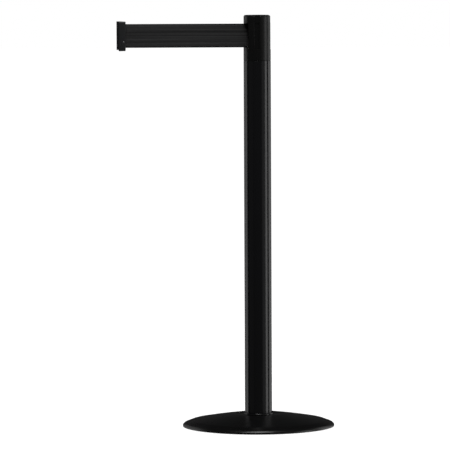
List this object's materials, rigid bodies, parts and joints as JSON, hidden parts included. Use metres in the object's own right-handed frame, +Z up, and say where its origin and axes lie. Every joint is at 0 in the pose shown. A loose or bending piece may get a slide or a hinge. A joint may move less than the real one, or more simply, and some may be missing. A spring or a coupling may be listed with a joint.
{
  "type": "retractable belt stanchion",
  "caption": "Free-standing post on a weighted round base; its head pays out a sprung black belt and takes other posts' belt clips.",
  "frame": {"origin": "centre of the floor pad's underside, on the floor and on the post's axis", "axes": "+Z up along the post; the belt leaves the head towards -X; -Y is the side seen in the picture"},
  "size_m": [0.5058, 0.3556, 0.965],
  "materials": {
    "powder_coat": "satin black powder coat",
    "black_plastic": "satin moulded nylon",
    "webbing": "woven polyester",
    "dark_rubber": "matt",
    "cast_iron": "rough, oiled",
    "zinc_steel": "bright zinc plate",
    "spring_steel": "blued strip",
    "white_nylon": "natural nylon"
  },
  "bodies": {
    "stand": {"floor_pad": "dark_rubber", "base_cover": "powder_coat", "base_weight": "cast_iron", "tie_rod": "zinc_steel", "tie_rod_washer": "zinc_steel", "tie_rod_nut": "zinc_steel", "foot_spigot": "black_plastic", "foot_trim": "powder_coat", "post_tube": "powder_coat", "head_adaptor": "black_plastic", "adaptor_screw_1": "zinc_steel", "adaptor_screw_2": "zinc_steel", "adaptor_screw_3": "zinc_steel", "adaptor_screw_4": "zinc_steel", "head_body": "black_plastic", "head_cap": "black_plastic", "cap_screw_1": "zinc_steel", "cap_screw_2": "zinc_steel", "cap_screw_3": "zinc_steel", "cap_screw_4": "zinc_steel", "cassette_lid": "black_plastic", "guide_pin": "zinc_steel", "spindle": "zinc_steel", "spindle_clip": "spring_steel", "brake_drum": "zinc_steel"},
    "spool": {"spool_hub": "white_nylon", "spool_bush_lower": "zinc_steel", "spool_bush_upper": "zinc_steel", "spool_lower_flange": "white_nylon", "spool_upper_flange": "white_nylon", "belt_roll": "webbing", "spring_case": "white_nylon", "power_spring": "spring_steel", "brake_carrier": "zinc_steel", "brake_pin_1": "zinc_steel", "brake_pin_2": "zinc_steel"},
    "brake_shoe_1": {"brake_shoe_1": "dark_rubber"},
    "brake_shoe_2": {"brake_shoe_2": "dark_rubber"},
    "belt_end": {"belt": "webbing", "belt_pin": "zinc_steel"},
    "clip": {"clip_body": "black_plastic", "clip_screw": "zinc_steel"}
  },
  "joints": [
    {"name": "belt_pull", "type": "slide", "parent": "stand", "child": "belt_end", "axis": [-1, 0, 0], "range_m": [-0.27, 1.99], "deforming": ["belt"]},
    {"name": "spool_spin", "type": "hinge", "parent": "stand", "child": "spool", "pos_m": [0, 0, 0.916], "axis": [0, 0, 1], "continuous": true, "deforming": ["power_spring"]},
    {"name": "brake_shoe_1_swing", "type": "hinge", "parent": "spool", "child": "brake_shoe_1", "pos_m": [0.0152, 0, 0.952], "axis": [0, 0, 1], "range_deg": [0, 2.5], "stiffness_Nm_per_rad": 0.02},
    {"name": "brake_shoe_2_swing", "type": "hinge", "parent": "spool", "child": "brake_shoe_2", "pos_m": [-0.0152, 0, 0.952], "axis": [0, 0, 1], "range_deg": [0, 2.5], "stiffness_Nm_per_rad": 0.02},
    {"name": "clip_swivel", "type": "hinge", "parent": "belt_end", "child": "clip", "pos_m": [-0.3125, 0.0022, 0.916], "axis": [0, 0, 1], "range_deg": [-20, 20]}
  ],
  "couplings": [
    {"joint": "spool_spin", "follows": "belt_pull", "rad_per_m": 69}
  ]
}
